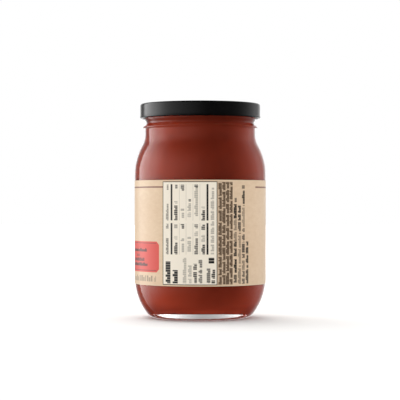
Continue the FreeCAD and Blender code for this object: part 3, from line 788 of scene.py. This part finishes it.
def make_sauce():
    """The sauce reaches just into the wall, so that no air shows between it and the glass."""
    edge = BORE + SAUCE_REACH
    curve_foot = (edge - MENISCUS_ROUND, SAUCE_LEVEL)
    curve_axis = (edge - MENISCUS_ROUND, SAUCE_LEVEL + MENISCUS_ROUND)
    section = Section(0, SAUCE_LEVEL)
    section.line(curve_foot)
    section.arc(curve_axis, towards(curve_axis, (edge, SAUCE_LEVEL), MENISCUS_ROUND))
    section.line((edge, SAUCE_LEVEL + MENISCUS))
    section.line((edge, NECK_FOOT))
    add_inside(section, WALL - SAUCE_REACH)
    section.points.reverse()
    section.paint.reverse()
    piece = lathe("sauce_filling", section, SAUCE_SEGMENTS)
    piece.data.materials.append(sauce_material())
    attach(piece, "root")
    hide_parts("sauce")


def paper_outline():
    """The paper cut across: up its outer face and down its inner face, as (radius, height) pairs."""
    low = HEEL_HEIGHT - PAPER_HEEL_LAP
    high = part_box("paper_label")[1][2] / MM
    faces = []
    for depth in (0, PAPER):
        wall = BODY + PAPER_CLEARANCE + depth
        heel = HEEL_RADIUS + PAPER_CLEARANCE + depth
        side = Section(WALL_AXIS + math.sqrt(heel ** 2 - PAPER_HEEL_LAP ** 2), low)
        side.arc(HEEL_AXIS, (wall, HEEL_HEIGHT), chord=1.0)
        side.line((wall, high))
        faces.append(side.points)
    return faces[1] + faces[0][::-1]


def make_paper():
    """A strip that goes once round the jar and laps over its own start at the back."""
    outline = paper_outline()
    angles = -math.pi + np.arange(PAPER_SEGMENTS + 1) * (math.tau + FLAP_SPAN) / PAPER_SEGMENTS
    lift = np.clip((angles - math.pi + FLAP_LIFT_START) / FLAP_LIFT_SPAN, 0, 1)
    lift = (lift * lift * (3 - 2 * lift)) * PAPER
    verts = []
    for angle, out in zip(angles, lift):
        for radius, height in outline:
            reach = (radius + out) * MM
            verts.append((reach * math.sin(angle), -reach * math.cos(angle), height * MM))
    size = len(outline)
    faces = []
    for column in range(PAPER_SEGMENTS):
        this, after = column * size, (column + 1) * size
        for k in range(size):
            step = (k + 1) % size
            faces.append((this + k, after + k, after + step, this + step))
    for start, turned in ((0, False), (PAPER_SEGMENTS * size, True)):
        for k in range(size // 2 - 1):
            face = (start + k, start + k + 1, start + size - 2 - k, start + size - 1 - k)
            faces.append(face[::-1] if turned else face)
    piece = make_piece("paper_wrap", verts, faces)
    piece.data.set_sharp_from_angle(angle=SHARP)
    piece.data.materials.append(paper_material())
    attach(piece, "root")
    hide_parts("paper_label")


def lid_section():
    """The lid's sheet, walked from the middle of its underside round the curl to the middle of its top."""
    under = PANEL - LID_SHEET
    channel = LID_TOP - LID_SHEET
    inner_corner = LID_CORNER - LID_SHEET
    step_head = PANEL_STEP + PANEL_SLOPE
    inner_meet = math.sqrt(CURL ** 2 - (SKIRT_INSIDE - CURL_AXIS[0]) ** 2)
    outer_meet = math.sqrt(CURL ** 2 - (SKIRT - CURL_AXIS[0]) ** 2)
    pale = 1  # the second material, of the lid's inside
    section = Section(0, under + BUTTON_RISE)
    section.line((BUTTON - LID_SHEET, under + BUTTON_RISE), paint=pale)
    section.line((BUTTON, under), step=0.2, paint=pale)
    section.line((PANEL_STEP + LID_SHEET, under), paint=pale)
    section.line((step_head + LID_SHEET, RIM), step=0.3, paint=pale)
    section.line((COMPOUND_EDGE, RIM), paint=pale)
    section.line((COMPOUND_EDGE, channel), step=0.3, paint=pale)
    section.line((SKIRT_INSIDE - inner_corner, channel), step=0.4, paint=pale)
    corner_axis = (SKIRT_INSIDE - inner_corner, channel - inner_corner)
    section.arc(corner_axis, (SKIRT_INSIDE, corner_axis[1]), clockwise=True, step=10, paint=pale)
    section.line((SKIRT_INSIDE, CURL_AXIS[1] + inner_meet), step=0.5, paint=pale)
    section.arc(CURL_AXIS, (SKIRT, CURL_AXIS[1] + outer_meet), step=8)
    section.line((SKIRT, LID_TOP - LID_CORNER), step=0.5)
    section.arc((SKIRT - LID_CORNER, LID_TOP - LID_CORNER), (SKIRT - LID_CORNER, LID_TOP), step=6)
    section.line((step_head, LID_TOP), step=1)
    section.line((PANEL_STEP, PANEL), step=0.25)
    section.line((BUTTON, PANEL))
    section.line((BUTTON - LID_SHEET, PANEL + BUTTON_RISE), step=0.2)
    section.line((0, PANEL + BUTTON_RISE))
    return section


def lid_relief(angle, radius, height):
    """The lugs: the inner half of the curl pressed inwards at four places."""
    along = (angle - math.pi / 2) % (math.tau / LEADS)
    pressed = bump(along, 0, LUG_SPAN, LUG_END)
    inward = np.clip((CURL_AXIS[0] - radius) / CURL, 0, 1)
    curl = (height < CURL_AXIS[1] + CURL) & (radius < SKIRT)
    return -LUG_REACH * pressed * inward * curl, np.zeros_like(height)


def make_lid():
    """The twist-off lid, black outside and pale inside."""
    piece = lathe("twist_lid", lid_section(), LID_SEGMENTS, lid_relief)
    piece.data.materials.append(lid_material())
    piece.data.materials.append(compound_material())
    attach(piece, "root")
    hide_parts("lid")


# --- The set, in metres, apart from FLOOR_GAP -----------------------------------------------------------

# A fade is a smooth step: where it starts and ends, and the level at each.
FLOOR_HALF = 4.0
FLOOR_GAP = 0.05
FLOOR_PALE = (0.8, 0.79, 0.78, 1)
FLOOR_GLOW = (0.3, 1.5, 0.0, 0.6)  # light of the floor's own for seen rays, by how far it is from the jar

# The studio's levels, where 1 is white. Directions are in degrees round the jar from the seen side.
NO_BOUNCE = 0.5  # a ray with fewer bounces of a kind than this has none
AMBIENT = 0.95
BRIGHTEST = 12.0
OUTER_ROOM = (
    (-180, 1.6), (-168, 1.1), (-150, 0.3), (-137, 0.3), (-132, 2.6), (-118, 2.6), (-105, 2.2),
    (-90, 1.75), (-68, 0.75), (-45, 0.4), (-11, 0.15), (12, 0.04), (45, 0.04), (74, 0.09),
    (98, 0.28), (118, 0.55), (130, 0.65), (142, 0.5), (150, 0.7), (168, 1.1), (180, 1.6),
)
INNER_ROOM = (
    (-180, 0.45), (-165, 0.6), (-150, 1.2), (-120, 3.2), (-90, 3.2), (-60, 1.9), (-30, 1.45), (0, 0.75),
    (30, 0.3), (60, 0.5), (90, 1.7), (120, 3.2), (145, 2.6), (165, 0.9), (180, 0.45),
)
# How those levels fade upwards and downwards, by the height of a direction: -1 is down and 1 is up.
OUTER_TOP, OUTER_FOOT = (0.25, 0.85, 1.0, 0.03), (-0.6, -0.05, 0.05, 1.0)
INNER_TOP, INNER_FOOT = (0.25, 0.95, 1.0, 0.3), (-0.9, -0.1, 0.75, 1.0)
# A painted shadow: the white backdrop dims for rays that leave the glass downwards, in place of the floor in
# the jar's shadow.
PAINTED_SHADOW_FADE = (-0.4, -0.04, 0.25, 1.0)

KEY_PLACE = (-0.38, 0.62, 1.15)
KEY_SIZE = 1.3
KEY_POWER = 13.0
BOX_DISTANCE = 1.2
BOX_LOW, BOX_HIGH = -0.05, 1.1
# Upright lamp panels: name, degrees round the jar, span in degrees as the jar sees it, luminance.
BOXES = (
    ("left_box_69", -69, 18, 0.1), ("left_box_90", -90, 24, 0.3), ("left_box_121", -121, 38, 0.55),
    ("right_box_98", 98, 20, 0.45), ("right_box_126", 126, 36, 0.9),
)

CAMERA_PLACE = (-0.00012, -0.937, 0.0686)
CAMERA_AIM = (-0.00012, 0, 0.0707)
CAMERA_LENS = 140.08
CAMERA_SENSOR = 36


def make_floor():
    """A pale floor that takes the jar's shadow, and that grows white for the camera further out."""
    half = FLOOR_HALF
    corners = [(-half, -half, 0), (half, -half, 0), (half, half, 0), (-half, half, 0)]
    mesh = bpy.data.meshes.new("floor")
    mesh.from_pydata(corners, [], [(0, 1, 2, 3)])
    floor = add_object("floor", mesh)
    surface = Material("pale_floor", Base_Color=FLOOR_PALE, Roughness=0.9, Specular_IOR_Level=0.0)
    far = surface.node("ShaderNodeVectorMath", operation="LENGTH")
    surface.link(surface.point, far.inputs[0])
    distance = Field(surface.tree, far.outputs["Value"])
    glow = surface.node("ShaderNodeEmission")
    strength = seen_rays(surface.tree) * fade(surface.tree, distance, *FLOOR_GLOW)
    surface.link(strength, glow.inputs["Strength"])
    both = surface.node("ShaderNodeAddShader")
    surface.link(surface.shader.outputs[0], both.inputs[0])
    surface.link(glow.outputs[0], both.inputs[1])
    surface.link(both.outputs[0], surface.output.inputs["Surface"])
    mesh.materials.append(surface.material)
    floor.location.z = -FLOOR_GAP * MM
    floor.visible_glossy = False
    # The floor is hidden from rays through the glass. The world's painted shadow stands in for it there.
    floor.visible_transmission = False


def seen_rays(tree):
    """1 for rays that carry what the camera sees straight or through glass, and 0 for those that light."""
    path = tree.nodes.new("ShaderNodeLightPath")
    camera, through = (Field(tree, path.outputs[name]) for name in ("Is Camera Ray", "Is Transmission Ray"))
    unscattered = Field(tree, path.outputs["Diffuse Depth"]).math("LESS_THAN", NO_BOUNCE)
    return (camera | through) & unscattered


def around(tree, azimuth, points):
    """How bright the studio is by the direction round the jar: 0 to 1 is a full turn from the back."""
    levels = tree.nodes.new("ShaderNodeFloatCurve")
    curve = levels.mapping.curves[0]
    for degrees, luminance in points:
        place = degrees / 360 + 0.5
        if place <= 0:
            point = curve.points[0]
        elif place >= 1:
            point = curve.points[-1]
        else:
            point = curve.points.new(place, 0)
        point.location = (min(max(place, 0), 1), luminance / BRIGHTEST)
    levels.mapping.update()
    tree.links.new(azimuth.socket, levels.inputs["Value"])
    return Field(tree, levels.outputs[0]) * BRIGHTEST


def fade(tree, value, start, end, first, last):
    """A smooth step from first to last as the value goes from start to end."""
    step = tree.nodes.new("ShaderNodeMapRange")
    step.interpolation_type = "SMOOTHSTEP"
    tree.links.new(value.socket, step.inputs["Value"])
    set_range(step, start, end, first, last)
    return Field(tree, step.outputs[0])


def make_world():
    """A white backdrop for what is seen straight or through glass, and a studio for everything else.

    The studio has an even level for plain light, one set of levels for the gloss of the outside, and one
    for the gloss of what is inside the glass. The backdrop dims for rays that leave the glass downwards: a
    painted shadow that stands in for the floor in the jar's shadow, seen through its base.
    """
    world = bpy.data.worlds.new("studio")
    world.use_nodes = True
    tree = world.node_tree
    backdrop = tree.nodes["Background"]
    path = tree.nodes.new("ShaderNodeLightPath")
    glossy = Field(tree, path.outputs["Is Glossy Ray"])
    seen = seen_rays(tree) & Field(tree, path.outputs["Glossy Depth"]).math("LESS_THAN", NO_BOUNCE)
    inside = Field(tree, path.outputs["Transmission Depth"]).over(NO_BOUNCE)
    direction = tree.nodes.new("ShaderNodeSeparateXYZ")
    tree.links.new(tree.nodes.new("ShaderNodeTexCoord").outputs["Generated"], direction.inputs[0])
    x, y, z = (Field(tree, output) for output in direction.outputs)
    azimuth = x.math("ARCTAN2", -y) / math.tau + 0.5
    outer = around(tree, azimuth, OUTER_ROOM) * fade(tree, z, *OUTER_TOP) * fade(tree, z, *OUTER_FOOT)
    inner = around(tree, azimuth, INNER_ROOM) * fade(tree, z, *INNER_TOP) * fade(tree, z, *INNER_FOOT)
    studio = outer + inside * (inner - outer)
    level = glossy * (studio - AMBIENT) + AMBIENT
    # Painted shadow: what is seen through the glass dims as it points down, in place of the shaded floor.
    shadowed_backdrop = inside * (fade(tree, z, *PAINTED_SHADOW_FADE) - 1) + 1
    strength = seen * shadowed_backdrop + ~seen * level
    tree.links.new(strength.socket, backdrop.inputs["Strength"])
    backdrop.inputs["Color"].default_value = (1, 1, 1, 1)
    bpy.context.scene.world = world


def add_lamp(name, light, place, facing):
    """A lamp that lights the jar without being seen in it or by the camera."""
    lamp = add_object(name, light)
    lamp.location = place
    lamp.rotation_euler = facing.to_track_quat("-Z", "Y").to_euler()
    lamp.visible_camera = False
    lamp.visible_glossy = False
    return lamp


def softbox(name, azimuth, span, luminance):
    """An upright lamp panel round the jar: azimuth from the seen side, positive to the right."""
    turn = math.radians(azimuth)
    light = bpy.data.lights.new(name, "AREA")
    light.shape = "RECTANGLE"
    light.size = 2 * BOX_DISTANCE * math.tan(math.radians(span) / 2)
    light.size_y = BOX_HIGH - BOX_LOW
    light.energy = luminance * math.pi * light.size * light.size_y
    place = (BOX_DISTANCE * math.sin(turn), -BOX_DISTANCE * math.cos(turn), (BOX_LOW + BOX_HIGH) / 2)
    add_lamp(name, light, place, Vector((-math.sin(turn), math.cos(turn), 0)))


def make_lights():
    """A large panel high up behind the jar, and the upright panels at its sides."""
    key = bpy.data.lights.new("key_panel", "AREA")
    key.size = KEY_SIZE
    key.energy = KEY_POWER
    add_lamp("key_panel", key, KEY_PLACE, -Vector(KEY_PLACE)).visible_transmission = False
    for box in BOXES:
        softbox(*box)


def make_camera():
    """The camera, nearly level with the middle of the jar."""
    data = bpy.data.cameras.new("camera")
    data.sensor_width = CAMERA_SENSOR
    data.lens = CAMERA_LENS
    camera = add_object("camera", data)
    camera.location = CAMERA_PLACE
    aim = Vector(CAMERA_AIM) - camera.location
    camera.rotation_euler = aim.to_track_quat("-Z", "Y").to_euler()
    bpy.context.scene.camera = camera


make_glass()
make_sauce()
make_paper()
make_lid()
make_floor()
make_world()
make_lights()
make_camera()
cycles = bpy.context.scene.cycles
cycles.max_bounces = 32
cycles.glossy_bounces = 16
cycles.transmission_bounces = 16
bpy.context.scene.view_settings.view_transform = "Standard"
